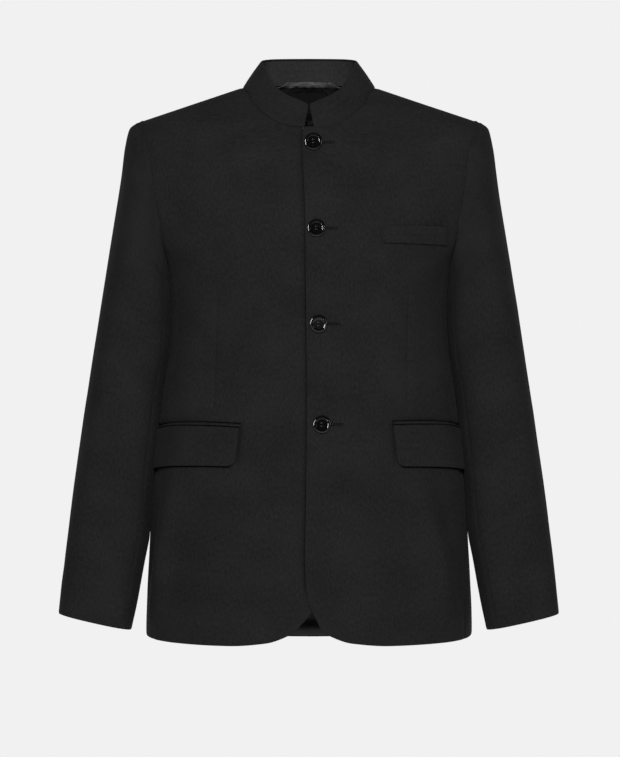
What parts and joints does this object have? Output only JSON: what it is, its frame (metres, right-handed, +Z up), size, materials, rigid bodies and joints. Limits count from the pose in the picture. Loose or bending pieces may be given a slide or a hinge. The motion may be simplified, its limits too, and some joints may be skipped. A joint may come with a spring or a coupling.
{
  "type": "suit jacket",
  "caption": "Tailored single-breasted suit jacket with a stand collar, flap pockets and a buttoned front, hollow and filled out as worn.",
  "frame": {"origin": "middle of the neck opening, level with the inner ends of the shoulder seams, where a wearer's neck or a hanger carries the jacket", "axes": "+Z up along the back, -Y towards the buttoned front, +X towards the wearer's left"},
  "size_m": [0.655, 0.2496, 0.7773],
  "materials": {
    "wool": "fine black worsted suiting, matt",
    "lining": "smooth black satin lining, soft sheen",
    "buttons": "polished black resin with four holes",
    "steel": "blackened steel hook and eye"
  },
  "bodies": {
    "root": {"front_left": "wool", "front_right": "wool", "side_left": "wool", "side_right": "wool", "back_left": "wool", "back_right": "wool", "sleeve_left_top": "wool", "sleeve_left_under": "wool", "sleeve_right_top": "wool", "sleeve_right_under": "wool", "collar": "wool", "collar_facing": "wool", "flap_left": "wool", "flap_right": "wool", "jet_left": "wool", "jet_right": "wool", "breast_welt": "wool", "button_1": "buttons", "button_2": "buttons", "button_3": "buttons", "button_4": "buttons", "collar_hook": "steel", "collar_eye": "steel", "back_lining": "lining", "hanger_tape": "lining", "neck_label": "lining"}
  },
  "joints": []
}
